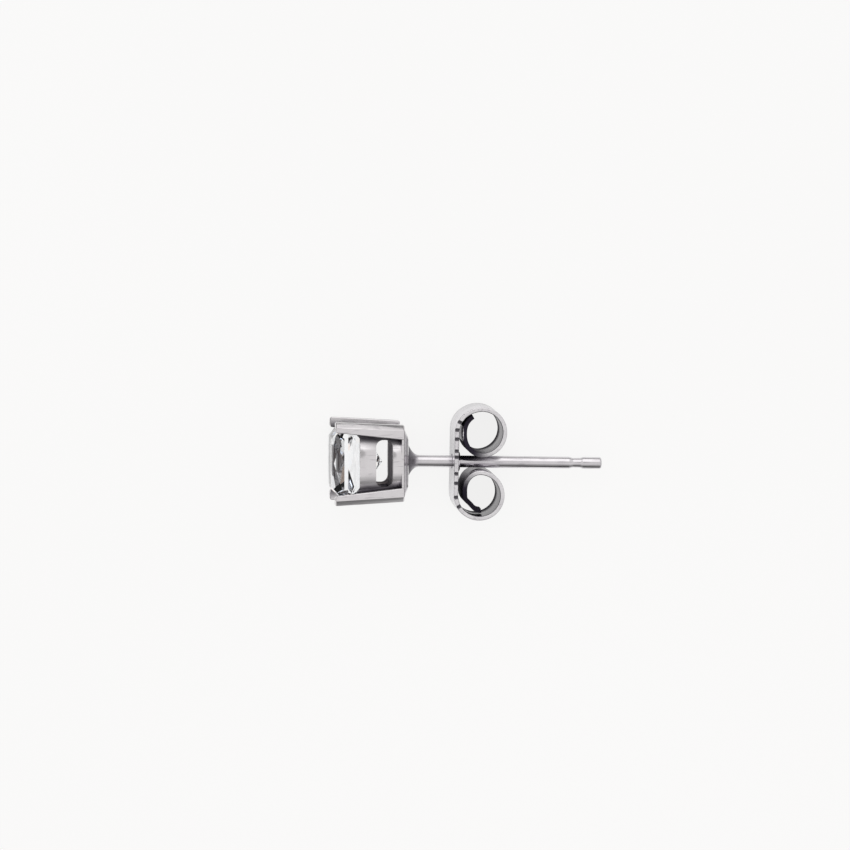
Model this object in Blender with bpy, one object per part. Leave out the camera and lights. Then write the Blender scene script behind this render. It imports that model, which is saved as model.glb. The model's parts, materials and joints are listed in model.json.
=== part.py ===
"""Stud earring: a square stone in a four-prong basket on a straight post, with a butterfly back.

Metres, +Z up. The earring lies on its side on the plane z = 0, and the origin is under the
middle of its box. Three frames have +X toward the tip of the post: the stud's, with x = 0 at the
prong tips, the post's, with x = 0 where it leaves the basket, and the back's, with x = 0 at the
front of its plate. The last section tilts the stud's frame as the earring lies: on the rear
corners of the basket and the edges of the butterfly back.
"""

from math import atan2, cos, degrees, pi, radians, sin, sqrt, tan

import bmesh
import bpy
from mathutils import Matrix, Vector

MM = 0.001

# Stone
STONE_WIDTH = 4.40 * MM
CROWN_HEIGHT = 0.68 * MM
GIRDLE_THICKNESS = 0.22 * MM
TABLE_PROUD = 0.12 * MM
STONE_CLEARANCE = 0.03 * MM

# Each row is a tier of facets, ground on all four sides of the stone: the side of the girdle
# (-1 crown, 1 pavilion, 0 the girdle itself), the facet's angle to the girdle's plane, its turns
# away from the middle of a side, and its distance from the axis at the girdle's edge, as a share
# of half the stone's width.
STONE_TIERS = (
    {"tier": "girdle side", "way": 0, "angle": 90.0, "turns": (0.0,), "reach": 1.0},
    {"tier": "girdle corner", "way": 0, "angle": 90.0, "turns": (45.0,), "reach": 1.38},
    {"tier": "crown side", "way": -1, "angle": 48.0, "turns": (0.0,), "reach": 1.0},
    {"tier": "crown star", "way": -1, "angle": 39.0, "turns": (-6.0, 6.0), "reach": 1.085},
    {"tier": "pavilion break", "way": 1, "angle": 60.0, "turns": (0.0,), "reach": 1.0},
    {"tier": "pavilion chevron", "way": 1, "angle": 48.0, "turns": (-8.0, 8.0), "reach": 1.135},
    {"tier": "pavilion main", "way": 1, "angle": 37.5, "turns": (-22.0, 22.0), "reach": 1.295},
)

# Basket
BASKET_LENGTH = 4.12 * MM
PRONG_WALL = 0.27 * MM
BASE_WIDTH = 4.50 * MM
PRONG_WIDTH = 0.60 * MM
PRONG_WIDTH_AT_BASE = 0.84 * MM
PRONG_BEVEL = 0.24 * MM
PRONG_TIP_ROUNDING = 0.14 * MM
BASE_RIM_ROUNDING = 0.10 * MM
BASE_THICKNESS = 0.69 * MM
BASE_DOME = 0.30 * MM
DOME_TOP_WIDTH = 2.30 * MM
RAIL_WIDTH = 0.94 * MM
RAIL_DEPTH = 0.60 * MM
FLOOR_DROP = 0.05 * MM
PANEL_RECESS = 0.12 * MM
PANEL_MARGIN = 0.05 * MM
WINDOW_LENGTH = 1.00 * MM
WINDOW_WIDTH = 2.76 * MM
WINDOW_CORNER = 0.42 * MM
GAP_CORNER = 0.30 * MM

# Post
POST_DIAMETER = 0.70 * MM
POST_LENGTH = 11.50 * MM
POST_LEAN = 1.0
POST_SIDES = 28
FOOT_DIAMETER = 2.06 * MM
FOOT_LENGTH = 0.66 * MM
FOOT_SINK = 0.03 * MM
FOOT_STEPS = 7
TIP_LENGTH = 1.10 * MM
TIP_CHAMFER = 0.10 * MM
NECK_DIAMETER = 0.57 * MM
NECK_LENGTH = 0.44 * MM
NECK_BEVEL = 0.22 * MM
NECK_FLARE = 0.16 * MM

# Butterfly back
BACK_GAP = 2.65 * MM
SHEET = 0.26 * MM
SHEET_CHAMFER = 0.04 * MM
STRIP_WIDTH = 3.46 * MM
SCROLL_DIAMETER = 2.96 * MM
SCROLL_STEP = 9.0
POST_CLEARANCE = 0.03 * MM
HOLE_FLANGE_WALL = 0.20 * MM
HOLE_FLANGE_LENGTH = 0.20 * MM
HOLE_LEAD_IN = 0.11 * MM
NICK_WIDTH = 0.22 * MM
NICK_DEPTH = 0.12 * MM
END_TAPER = 2.40 * MM
END_CORNER = 0.16 * MM

# Each row is a scroll: the side of the post it lies on, its (degrees turned from the plate,
# distance of the strip from the centre as a share of the scroll's own radius) stations, the
# width of its end as a share of the strip's, and the nicks in its curl, in degrees.
SCROLLS = (
    {
        "side": 1,
        "stations": ((0, 1.09), (80, 1.0), (265, 1.0), (365, 0.74), (421, 0.75)),
        "end_width": 0.80,
        "nicks": (5.0, 24.0),
    },
    {
        "side": -1,
        "stations": ((0, 1.03), (80, 1.0), (265, 1.0), (365, 0.62), (410, 0.54), (462, 0.74)),
        "end_width": 0.42,
        "nicks": (5.0, 29.0),
    },
)

# Heights of the nicks in the straight plate, as shares of a scroll's diameter.
PLATE_NICKS = (-0.39, -0.20, 0.13, 0.25, 0.49)

SHARP_ANGLE = radians(28)
CUT_TOLERANCE = 1e-8
STONE_HALF = STONE_WIDTH / 2
POST_RADIUS = POST_DIAMETER / 2
GIRDLE_FRONT = CROWN_HEIGHT - TABLE_PROUD
GIRDLE_REAR = GIRDLE_FRONT + GIRDLE_THICKNESS
BASKET_HALF = STONE_HALF + PRONG_WALL
BASE_FRONT = BASKET_LENGTH - BASE_THICKNESS
DOME_TOP = BASKET_LENGTH + BASE_DOME
SCROLL_RADIUS = SCROLL_DIAMETER / 2
STRIP_RADIUS = SCROLL_RADIUS - SHEET / 2
HOLE_RADIUS = POST_RADIUS + POST_CLEARANCE
BEYOND = STONE_WIDTH


def new_bmesh_object(name, bm, parent=None):
    """Turns a bmesh into an object with outward faces and smooth round surfaces."""
    bmesh.ops.recalc_face_normals(bm, faces=bm.faces)
    mesh = bpy.data.meshes.new(name)
    bm.to_mesh(mesh)
    bm.free()
    mesh.shade_smooth()
    mesh.set_sharp_from_angle(angle=SHARP_ANGLE)
    made = bpy.data.objects.new(name, mesh)
    made.parent = parent
    bpy.context.scene.collection.objects.link(made)
    return made


def new_empty(name, parent=None):
    made = bpy.data.objects.new(name, None)
    made.empty_display_size = MM
    made.parent = parent
    bpy.context.scene.collection.objects.link(made)
    return made


def give_material(target, name, color, metallic, roughness, transmission=0.0):
    material = bpy.data.materials.new(name)
    material.use_nodes = True
    shader = material.node_tree.nodes["Principled BSDF"]
    shader.inputs["Base Color"].default_value = (*color, 1.0)
    shader.inputs["Metallic"].default_value = metallic
    shader.inputs["Roughness"].default_value = roughness
    shader.inputs["Transmission Weight"].default_value = transmission
    target.data.materials.append(material)


def combine(target, helper, operation):
    """Cuts a helper from the target or joins it on. The helper itself isn't part of the earring."""
    helper.hide_render = True
    helper.display_type = "WIRE"
    modifier = target.modifiers.new(helper.name, "BOOLEAN")
    modifier.operation = operation
    modifier.solver = "EXACT"
    modifier.object = helper


def loft(rings):
    """A closed skin over rings of points, with flat caps on the first and the last ring."""
    bm = bmesh.new()
    loops = [[bm.verts.new(point) for point in ring] for ring in rings]
    for one, other in zip(loops, loops[1:]):
        for i in range(len(one)):
            j = (i + 1) % len(one)
            bm.faces.new((one[i], one[j], other[j], other[i]))
    bm.faces.new(loops[0])
    bm.faces.new(loops[-1])
    return bm


def turned(profile, sides):
    """A solid turned about X, from (x, radius) pairs."""
    angles = [2 * pi * i / sides for i in range(sides)]
    return loft([[(x, r * cos(a), r * sin(a)) for a in angles] for x, r in profile])


def slab(outline, reach):
    """A flat outline in x and y, drawn out from z = -reach to z = reach."""
    return loft([[(x, y, z) for x, y in outline] for z in (-reach, reach)])


def rounded(corners, steps=5):
    """The outline of a polygon whose (x, y, radius) corners are rounded by arcs."""
    outline = []
    for i, (x, y, radius) in enumerate(corners):
        here = Vector((x, y))
        if radius == 0:
            outline.append(here)
            continue
        before = (Vector(corners[i - 1][:2]) - here).normalized()
        after = (Vector(corners[(i + 1) % len(corners)][:2]) - here).normalized()
        half_angle = before.angle(after) / 2
        centre = here + (before + after).normalized() * radius / sin(half_angle)
        first = (here + before * radius / tan(half_angle) - centre).normalized()
        last = (here + after * radius / tan(half_angle) - centre).normalized()
        outline += [centre + radius * first.slerp(last, k / steps) for k in range(steps + 1)]
    return outline


def turn_about_post(bm, quarter_turns):
    turn = Matrix.Rotation(quarter_turns * pi / 2, 4, "X")
    bmesh.ops.transform(bm, matrix=turn, verts=bm.verts)
    return bm


def smooth_step(share):
    share = min(max(share, 0.0), 1.0)
    return share * share * (3 - 2 * share)


# Stone. A block is cut down by one plane for each facet, as a cutter grinds it.
def cut_stone(allowance=0.0):
    """The stone, or with an allowance the slightly larger seat that it lies in."""
    bm = bmesh.new()
    bmesh.ops.create_cube(bm, size=2 * BEYOND)
    facets = [(Vector((-TABLE_PROUD, 0, 0)), Vector((-1, 0, 0)))]
    for tier in STONE_TIERS:
        angle = radians(tier["angle"])
        edge = GIRDLE_FRONT if tier["way"] < 0 else GIRDLE_REAR
        for quarter in range(4):
            for turn in tier["turns"]:
                round_axis = radians(90 * quarter + turn)
                outward = Vector((0, cos(round_axis), sin(round_axis)))
                point = Vector((edge, 0, 0)) + outward * tier["reach"] * STONE_HALF
                normal = outward * sin(angle) + Vector((tier["way"] * cos(angle), 0, 0))
                facets.append((point, normal.normalized()))
    for point, normal in facets:
        cut = bmesh.ops.bisect_plane(
            bm,
            geom=bm.verts[:] + bm.edges[:] + bm.faces[:],
            dist=CUT_TOLERANCE,
            plane_co=point + normal * allowance,
            plane_no=normal,
            clear_outer=True,
        )
        edges = [part for part in cut["geom_cut"] if isinstance(part, bmesh.types.BMEdge)]
        if edges:
            bmesh.ops.edgeloop_fill(bm, edges=edges)
    return bm


# Basket. Half its outer width and the inner edge of its prongs run straight from tips to base.
def basket_half(x):
    return BASKET_HALF + (BASE_WIDTH / 2 - BASKET_HALF) * x / BASKET_LENGTH


def prong_edge(x):
    width = PRONG_WIDTH + (PRONG_WIDTH_AT_BASE - PRONG_WIDTH) * x / BASKET_LENGTH
    return basket_half(x) - width


def beveled_square(x, half, bevel=PRONG_BEVEL):
    short = half - bevel
    corners = ((half, short), (short, half), (-short, half), (-half, short))
    return [(x, y, z) for y, z in corners] + [(x, -y, -z) for y, z in corners]


def basket_body():
    """The solid outside of the basket, with rounded prong tips, a rounded rim and a low dome."""
    rim = BASKET_LENGTH - BASE_RIM_ROUNDING
    return loft(
        [
            beveled_square(0, basket_half(0) - PRONG_TIP_ROUNDING),
            beveled_square(PRONG_TIP_ROUNDING, basket_half(PRONG_TIP_ROUNDING)),
            beveled_square(rim, basket_half(rim)),
            beveled_square(BASKET_LENGTH, basket_half(rim) - BASE_RIM_ROUNDING),
            beveled_square(DOME_TOP, DOME_TOP_WIDTH / 2),
        ]
    )


def basket_well():
    """The square hollow inside the prongs and the rail, down to its floor in the base."""
    rings = []
    for x in (-BEYOND, BASE_FRONT + FLOOR_DROP):
        half = basket_half(x) - PANEL_RECESS - RAIL_DEPTH
        rings.append([(x, half, half), (x, -half, half), (x, -half, -half), (x, half, -half)])
    return loft(rings)


def prong_gap():
    """The opening between two prongs, from the tips to the rail, right through the basket."""
    end = BASE_FRONT - WINDOW_LENGTH - RAIL_WIDTH
    corners = [
        (-BEYOND, -prong_edge(-BEYOND), 0),
        (end, -prong_edge(end), GAP_CORNER),
        (end, prong_edge(end), GAP_CORNER),
        (-BEYOND, prong_edge(-BEYOND), 0),
    ]
    return slab(rounded(corners), BEYOND)


def window():
    """The long window between the rail and the base, right through the basket."""
    half = WINDOW_WIDTH / 2
    start = BASE_FRONT - WINDOW_LENGTH
    corners = [(start, -half), (BASE_FRONT, -half), (BASE_FRONT, half), (start, half)]
    return slab(rounded([(x, y, WINDOW_CORNER) for x, y in corners]), BEYOND)


def side_panel():
    """The shallow recess of the rail and the base between two prongs, on the +Z side."""
    rings = []
    for x in (-BEYOND, DOME_TOP + BEYOND):
        edge = prong_edge(x) - PANEL_MARGIN
        low = basket_half(x) - PANEL_RECESS
        high = low + BEYOND
        rings.append([(x, -edge, low), (x, edge, low), (x, edge, high), (x, -edge, high)])
    return loft(rings)


def post_profile():
    """(x, radius) pairs from inside the base, over the flared foot and the notch, to the tip."""
    profile = [(-BASE_THICKNESS, FOOT_DIAMETER / 2)]
    rise = FOOT_DIAMETER / 2 - POST_RADIUS
    for i in range(FOOT_STEPS + 1):
        angle = pi / 2 * i / FOOT_STEPS
        x = FOOT_LENGTH * (1 - cos(angle)) - FOOT_SINK
        profile.append((x, POST_RADIUS + rise * (1 - sin(angle))))
    neck_end = POST_LENGTH - TIP_LENGTH - NECK_FLARE
    neck_start = neck_end - NECK_LENGTH
    profile += [
        (neck_start - NECK_BEVEL, POST_RADIUS),
        (neck_start, NECK_DIAMETER / 2),
        (neck_end, NECK_DIAMETER / 2),
        (POST_LENGTH - TIP_LENGTH, POST_RADIUS),
        (POST_LENGTH - TIP_CHAMFER, POST_RADIUS),
        (POST_LENGTH, POST_RADIUS - TIP_CHAMFER),
    ]
    return profile


# Butterfly back. Its strip follows one path: out of one scroll, over the plate, into the other.
# An inset is how far an edge of the strip is drawn in there from its full width.
def nick_marks(places, half):
    """(place, inset) pairs of small V nicks that reach half their width to each side."""
    marks = []
    for place in places:
        marks += [(place - half, 0.0), (place, NICK_DEPTH), (place + half, 0.0)]
    return marks


def scroll_centre(scroll):
    """The centre of a scroll: its strip turns beside the post and meets the plate."""
    x = SHEET / 2 + scroll["stations"][0][1] * STRIP_RADIUS
    return x, scroll["side"] * (HOLE_RADIUS + SCROLL_RADIUS)


def scroll_share(scroll, turned_by):
    """The strip's distance from the centre, eased from one station of the scroll to the next."""
    stations = scroll["stations"]
    for (start, before), (end, after) in zip(stations, stations[1:]):
        if turned_by <= end:
            break
    return before + (after - before) * smooth_step((turned_by - start) / (end - start))


def end_inset(scroll, turned_by):
    """The strip narrows toward its end, and the end's corners are rounded off."""
    turn, share = scroll["stations"][-1]
    to_end = radians(turn - turned_by) * share * STRIP_RADIUS
    full = STRIP_WIDTH / 2 * (1 - scroll["end_width"])
    corner = 1 - min(to_end / END_CORNER, 1.0)
    return full * (1 - smooth_step(to_end / END_TAPER)) + END_CORNER * (1 - sqrt(1 - corner**2))


def scroll_path(scroll):
    """The strip's middle line from the plate to the scroll's end, as (x, y, inset) points."""
    turn = scroll["stations"][-1][0]
    steps = round(turn / SCROLL_STEP)
    nick = degrees(NICK_WIDTH / SCROLL_DIAMETER)
    places = nick_marks(scroll["nicks"], nick)
    for i in range(steps + 1):
        place = turn * i / steps
        if all(abs(place - other) > 1.5 * nick for other in scroll["nicks"]):
            places.append((place, 0.0))
    x_centre, y_centre = scroll_centre(scroll)
    points = []
    for place, inset in sorted(places):
        radius = scroll_share(scroll, place) * STRIP_RADIUS
        x = x_centre - radius * cos(radians(place))
        y = y_centre + scroll["side"] * radius * sin(radians(place))
        points.append((x, y, inset + end_inset(scroll, place)))
    return points


def strip_path():
    """The whole strip's middle line, as (x, y, inset) points."""
    upper, lower = SCROLLS
    places = [share * SCROLL_DIAMETER for share in PLATE_NICKS]
    plate = [(SHEET / 2, y, inset) for y, inset in nick_marks(places, NICK_WIDTH / 2)]
    return scroll_path(lower)[::-1] + plate + scroll_path(upper)


def strip_ring(point, along, half_width):
    """The strip's section at a point of its path: a flat bar with broken edges."""
    across = Vector((-along.y, along.x))
    ring = []
    for way, side in ((1, 1), (1, -1), (-1, -1), (-1, 1)):
        flat = point + across * way * SHEET / 2
        edge = point + across * way * (SHEET / 2 - SHEET_CHAMFER)
        pair = [
            (edge.x, edge.y, side * half_width),
            (flat.x, flat.y, side * (half_width - SHEET_CHAMFER)),
        ]
        ring += pair if way * side > 0 else pair[::-1]
    return ring


def strip():
    path = strip_path()
    points = [Vector((x, y)) for x, y, _ in path]
    rings = []
    for i, (_, _, inset) in enumerate(path):
        before = points[max(i - 1, 0)]
        after = points[min(i + 1, len(points) - 1)]
        along = (after - before).normalized()
        rings.append(strip_ring(points[i], along, STRIP_WIDTH / 2 - inset))
    return loft(rings)


# Everything below builds the pieces.
for old in list(bpy.data.objects):
    bpy.data.objects.remove(old, do_unlink=True)

stud_frame = new_empty("stud_frame")
post_frame = new_empty("post_frame", stud_frame)
post_frame.location.x = DOME_TOP
post_frame.rotation_euler.z = -radians(POST_LEAN)
back_frame = new_empty("back_frame", post_frame)
back_frame.location.x = BACK_GAP

stone = new_bmesh_object("stone", cut_stone(), stud_frame)
give_material(stone, "clear stone", (0.93, 0.95, 0.96), 0.0, 0.02, 1.0)

setting = new_bmesh_object("setting_post", basket_body(), stud_frame)
give_material(setting, "white metal", (0.78, 0.77, 0.78), 1.0, 0.18)
cutters = [("well", basket_well())]
for quarter in range(2):
    cutters.append((f"prong_gap_{quarter}", turn_about_post(prong_gap(), quarter)))
    cutters.append((f"window_{quarter}", turn_about_post(window(), quarter)))
for quarter in range(4):
    cutters.append((f"side_panel_{quarter}", turn_about_post(side_panel(), quarter)))
cutters.append(("stone_seat", cut_stone(STONE_CLEARANCE)))
for name, bm in cutters:
    combine(setting, new_bmesh_object(name, bm, stud_frame), "DIFFERENCE")
combine(setting, new_bmesh_object("post", turned(post_profile(), POST_SIDES), post_frame), "UNION")

back = new_bmesh_object("butterfly_back", strip(), back_frame)
give_material(back, "white metal sheet", (0.75, 0.74, 0.75), 1.0, 0.22)
flange_radius = HOLE_RADIUS + HOLE_FLANGE_WALL
flange_end = SHEET + HOLE_FLANGE_LENGTH
flange = [
    (SHEET / 2, flange_radius),
    (flange_end - SHEET_CHAMFER, flange_radius),
    (flange_end, flange_radius - SHEET_CHAMFER),
]
hole = [
    (-HOLE_LEAD_IN, HOLE_RADIUS + 2 * HOLE_LEAD_IN),
    (HOLE_LEAD_IN, HOLE_RADIUS),
    (flange_end + HOLE_LEAD_IN, HOLE_RADIUS),
]
hole_flange = new_bmesh_object("hole_flange", turned(flange, POST_SIDES), back_frame)
post_hole = new_bmesh_object("post_hole", turned(hole, POST_SIDES), back_frame)
combine(back, hole_flange, "UNION")
combine(back, post_hole, "DIFFERENCE")

# Rest. The basket's lowest corners and the rear edges of the back stand on the plane z = 0.
in_stud_frame = post_frame.matrix_basis @ back_frame.matrix_basis
rear_edges = []
for scroll in SCROLLS:
    x, y = scroll_centre(scroll)
    rear_edges.append(in_stud_frame @ Vector((x + SCROLL_RADIUS - SHEET_CHAMFER, y, 0)))
rear_x = max(edge.x for edge in rear_edges)
slopes = [
    atan2(basket_half(x) - STRIP_WIDTH / 2, rear_x - x)
    for x in (PRONG_TIP_ROUNDING, BASKET_LENGTH - BASE_RIM_ROUNDING)
]
stud_frame.rotation_euler.y = max(slopes)
bpy.context.view_layer.update()
graph = bpy.context.evaluated_depsgraph_get()
corners = []
for piece in (stone, setting, back):
    solid = piece.evaluated_get(graph)
    corners += [solid.matrix_world @ vertex.co for vertex in solid.data.vertices]
low = Vector([min(corner[i] for corner in corners) for i in range(3)])
high = Vector([max(corner[i] for corner in corners) for i in range(3)])
stud_frame.location = (-(low.x + high.x) / 2, -(low.y + high.y) / 2, -low.z)
bpy.context.view_layer.update()
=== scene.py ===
"""Stud earring: a square stone in a four-prong basket on a straight post, with a butterfly back.

The solids from the frame stay in the scene, hidden where they are rebuilt. The solids from the
frame stay as collision. Every visible piece is made here, in metres, in the same places. The
stud's frame has +X from the prong tips toward the post, the post's frame starts where the post
leaves the basket, and the back's frame starts at the front of its plate.
"""

import json
from math import asin, atan2, cos, pi, radians, sin, sqrt

import bmesh
import bpy
from mathutils import Matrix, Vector, kdtree


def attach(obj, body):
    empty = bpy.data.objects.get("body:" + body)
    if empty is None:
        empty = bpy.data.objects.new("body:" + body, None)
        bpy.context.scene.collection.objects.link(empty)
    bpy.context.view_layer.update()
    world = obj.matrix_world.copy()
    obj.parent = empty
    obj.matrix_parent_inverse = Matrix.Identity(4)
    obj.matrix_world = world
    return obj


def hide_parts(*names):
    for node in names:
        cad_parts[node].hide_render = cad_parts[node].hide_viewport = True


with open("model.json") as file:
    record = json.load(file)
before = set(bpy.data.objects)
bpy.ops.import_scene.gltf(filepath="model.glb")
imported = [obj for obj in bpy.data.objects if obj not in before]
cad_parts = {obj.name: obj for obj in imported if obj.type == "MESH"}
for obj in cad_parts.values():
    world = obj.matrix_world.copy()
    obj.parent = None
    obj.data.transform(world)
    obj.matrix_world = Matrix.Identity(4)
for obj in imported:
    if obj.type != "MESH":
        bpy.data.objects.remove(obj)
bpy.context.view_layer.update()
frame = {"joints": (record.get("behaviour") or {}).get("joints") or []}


# Gallery. Four side frames of cast white metal, each a rail over a long window, run between the
# prongs and into the base. They are cast in one with the basket, so their edges are soft.
MM = 0.001
BASKET_LENGTH = 4.12 * MM
BASKET_HALF = 2.47 * MM
BASE_WIDTH = 4.50 * MM
PRONG_WIDTH = 0.60 * MM
PRONG_WIDTH_AT_BASE = 0.84 * MM
PANEL_RECESS = 0.15 * MM
PANEL_DEPTH = 0.66 * MM
# The face of a side frame bulges, and falls away by this much where it meets a prong.
PANEL_FALL = 0.48 * MM
PANEL_FALL_POWER = 2.6
PANEL_STEPS = 20
RAIL_START = 1.49 * MM
BASE_RIM = 0.18 * MM
WINDOW_START = 2.43 * MM
WINDOW_END = 3.43 * MM
WINDOW_WIDTH = 2.76 * MM
WINDOW_CORNER = 0.42 * MM
GAP_CORNER = 0.30 * MM
CAST_EDGE = 0.035 * MM
SHARP_ANGLE = 35
# The polishing wheel reaches this deep under the sides of the basket.
WHEEL_DEPTH = PANEL_RECESS + MM / 8
# The middle of the plane of the prong tips.
TIP_PLANE = Vector((-7.8146, 0.0735, 2.5907)) * MM

# The slide of the back runs along the post, so it gives the tilt that the stud lies at.
slide = frame["joints"][0]["axis"]
in_stud = Matrix.Translation(TIP_PLANE) @ Matrix.Rotation(atan2(-slide[2], slide[0]), 4, "Y")
to_stud = in_stud.inverted()


def linear(code):
    """An sRGB hex colour as linear red, green, blue and alpha."""
    parts = [int(code[i : i + 2], 16) / 255 for i in (1, 3, 5)]
    return [c / 12.92 if c <= 0.04045 else ((c + 0.055) / 1.055) ** 2.4 for c in parts] + [1.0]


def add_node(tree, kind, settings=None, **inputs):
    """A new node. Inputs are values or sockets, by the socket's name with _ for a space."""
    node = tree.nodes.new(kind)
    for key, value in (settings or {}).items():
        setattr(node, key, value)
    for key, value in inputs.items():
        slot = node.inputs[int(key[1:]) if key[1:].isdigit() else key.replace("_", " ")]
        if isinstance(value, bpy.types.NodeSocket):
            tree.links.new(value, slot)
        else:
            slot.default_value = value
    return node


# The finish of the white metal: patches of handling, drag lines of the wheel, painted shade from
# ambient occlusion in tight corners, and painted shade, dark and matt, where a piece's attribute
# marks it.
PATCH_SIZE = 0.8 * MM
DRAG_LINE = 0.13 * MM
DRAG_STRETCH = 0.1
DRAG_TONE = "#8E8892"
CORNER_SHADE_REACH = 0.8 * MM
CORNER_SHADE_TONE = "#726D7A"
PAINTED_SHADE_TONE = "#3A3642"
PAINTED_SHADE_ROUGHNESS = 0.7
RIPPLE_SIZE = 0.3 * MM
RIPPLE_HEIGHT = 0.006 * MM
WHEEL_LINE = 0.05 * MM


def white_metal(name, color, dark_color, roughness, scratch, grain=(1.0, 1.0, 1.0), near=True):
    """Polished and bright-plated white metal, with the soft ripple that polishing leaves in it.

    The eye sees clear reflections that waver a little, and faint greyer patches of handling.
    Where the piece's attribute of painted shade is high, the metal is painted dark and made matt.
    The grain has a share under 1 along the way that the metal was drawn or rolled. Painted shade
    from ambient occlusion darkens the piece's own corners, or with near off also beside other
    pieces.
    """
    material = bpy.data.materials.new(name)
    material.use_nodes = True
    tree = material.node_tree
    shader = tree.nodes["Principled BSDF"]
    shader.inputs["Metallic"].default_value = 1.0
    place = add_node(tree, "ShaderNodeTexCoord").outputs["Object"]
    patches = add_node(
        tree, "ShaderNodeTexNoise", None, Vector=place, Scale=1 / PATCH_SIZE, Detail=3.0
    ).outputs["Fac"]
    drawn_out = add_node(
        tree,
        "ShaderNodeMapping",
        None,
        Vector=place,
        Scale=tuple(DRAG_STRETCH if share < 1 else 1.0 for share in grain),
    ).outputs["Vector"]
    streaks = add_node(
        tree, "ShaderNodeTexNoise", None, Vector=drawn_out, Scale=1 / DRAG_LINE, Detail=0.0
    ).outputs["Fac"]
    dragged = add_node(
        tree, "ShaderNodeMapRange", None, Value=streaks, From_Min=0.64, From_Max=0.76, To_Max=0.25
    ).outputs["Result"]
    openness = add_node(
        tree,
        "ShaderNodeAmbientOcclusion",
        {"samples": 8, "only_local": near},
        Distance=CORNER_SHADE_REACH,
    ).outputs["AO"]
    # Painted shade: ambient occlusion darkens the colour in tight corners and beside other pieces.
    painted_corner_shade = add_node(
        tree,
        "ShaderNodeMapRange",
        {"interpolation_type": "SMOOTHSTEP"},
        Value=openness,
        From_Min=0.10,
        From_Max=0.80,
        To_Min=0.6,
        To_Max=0.0,
    ).outputs["Result"]
    # Painted shade: the piece's own attribute darkens the colour and makes the metal matt.
    painted_shade = add_node(
        tree, "ShaderNodeAttribute", {"attribute_name": "painted_shade"}
    ).outputs["Fac"]
    shade = linear(color)
    for share, tone in (
        (patches, dark_color),
        (dragged, DRAG_TONE),
        (painted_corner_shade, CORNER_SHADE_TONE),
        (painted_shade, PAINTED_SHADE_TONE),
    ):
        shade = add_node(
            tree, "ShaderNodeMix", {"data_type": "RGBA"}, _0=share, _6=shade, _7=linear(tone)
        ).outputs[2]
    tree.links.new(shade, shader.inputs["Base Color"])
    rough = add_node(
        tree,
        "ShaderNodeMapRange",
        None,
        Value=patches,
        From_Min=0.35,
        From_Max=0.7,
        To_Min=roughness * 0.7,
        To_Max=roughness * 1.4,
    ).outputs["Result"]
    matt = add_node(
        tree,
        "ShaderNodeMix",
        {"data_type": "FLOAT"},
        _0=painted_shade,
        _2=rough,
        _3=PAINTED_SHADE_ROUGHNESS,
    ).outputs[0]
    tree.links.new(matt, shader.inputs["Roughness"])
    stretched = add_node(
        tree, "ShaderNodeMapping", None, Vector=place, Scale=grain
    ).outputs["Vector"]
    ripple = add_node(
        tree, "ShaderNodeTexNoise", None, Vector=stretched, Scale=1 / RIPPLE_SIZE, Detail=1.0
    ).outputs["Fac"]
    lines = add_node(
        tree, "ShaderNodeTexNoise", None, Vector=stretched, Scale=1 / WHEEL_LINE, Detail=2.0
    ).outputs["Fac"]
    soft = add_node(
        tree, "ShaderNodeBump", None, Height=ripple, Strength=1.0, Distance=RIPPLE_HEIGHT
    ).outputs["Normal"]
    fine = add_node(
        tree, "ShaderNodeBump", None, Height=lines, Strength=1.0, Distance=scratch, Normal=soft
    ).outputs["Normal"]
    tree.links.new(fine, shader.inputs["Normal"])
    return material


def basket_half(x):
    """Half the width of the tapered basket at x."""
    return BASKET_HALF + (BASE_WIDTH / 2 - BASKET_HALF) * x / BASKET_LENGTH


def prong_edge(x):
    """How far the inner side of a prong stands from the middle of the basket at x."""
    width = PRONG_WIDTH + (PRONG_WIDTH_AT_BASE - PRONG_WIDTH) * x / BASKET_LENGTH
    return basket_half(x) - width


def linked(name, mesh):
    made = bpy.data.objects.new(name, mesh)
    bpy.context.scene.collection.objects.link(made)
    return made


def put_in(made, place, material, sharp=SHARP_ANGLE):
    """Bakes the finished shape of an object into a plain mesh, at its place in the world."""
    graph = bpy.context.evaluated_depsgraph_get()
    mesh = bpy.data.meshes.new_from_object(made.evaluated_get(graph), depsgraph=graph)
    mesh.transform(place @ made.matrix_world)
    if material is not None:
        mesh.materials.clear()
        mesh.materials.append(material)
    mesh.shade_smooth()
    mesh.set_sharp_from_angle(angle=radians(sharp))
    name = made.name
    bpy.data.objects.remove(made, do_unlink=True)
    mesh.name = name
    return linked(name, mesh)


def group_input(tree, name, kind, default):
    made = tree.interface.new_socket(name, in_out="INPUT", socket_type=kind)
    if default is not None:
        made.default_value = default
    return made


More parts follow.
